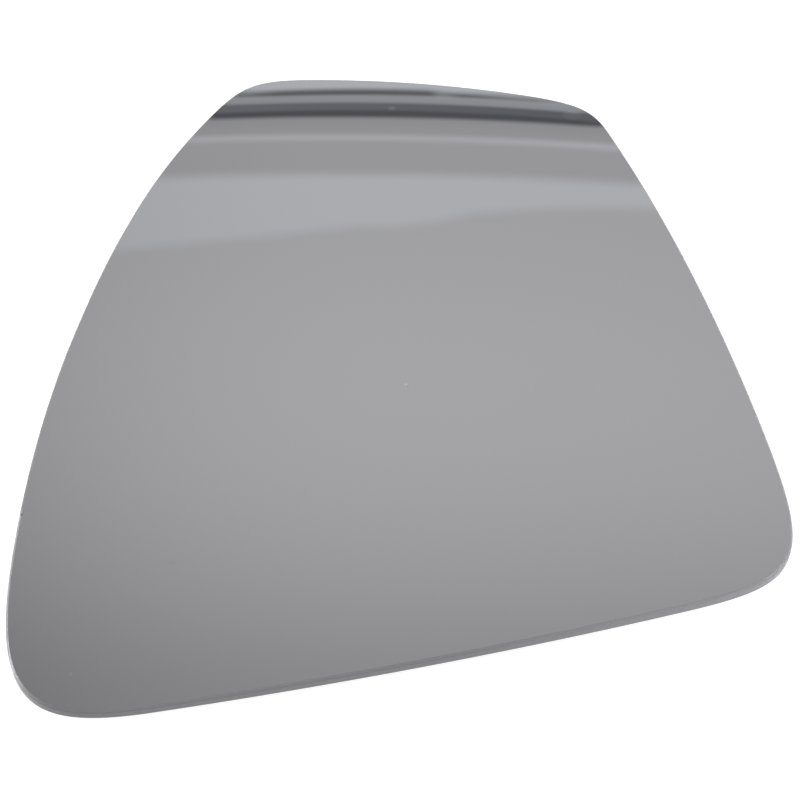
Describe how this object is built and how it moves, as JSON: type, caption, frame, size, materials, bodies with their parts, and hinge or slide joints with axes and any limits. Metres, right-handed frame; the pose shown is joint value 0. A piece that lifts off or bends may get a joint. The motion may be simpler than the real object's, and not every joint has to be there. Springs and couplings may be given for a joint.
{
  "type": "car door mirror glass",
  "caption": "Domed wide-angle glass of a car's passenger door mirror, a rounded trapezoid with ground edges, lying face up.",
  "frame": {"origin": "on the surface that the glass lies on, under the middle of its outline", "axes": "+X towards the lower edge of the fitted mirror, +Y towards its outboard end, which is the long way, and +Z out of the domed mirror face"},
  "size_m": [0.1326, 0.175, 0.0052],
  "materials": {
    "mirror_glass": "polished mirror coating on the domed face, ground grey edge, dark protective coating on the back"
  },
  "bodies": {
    "root": {"mirror_glass": "mirror_glass"}
  },
  "joints": []
}
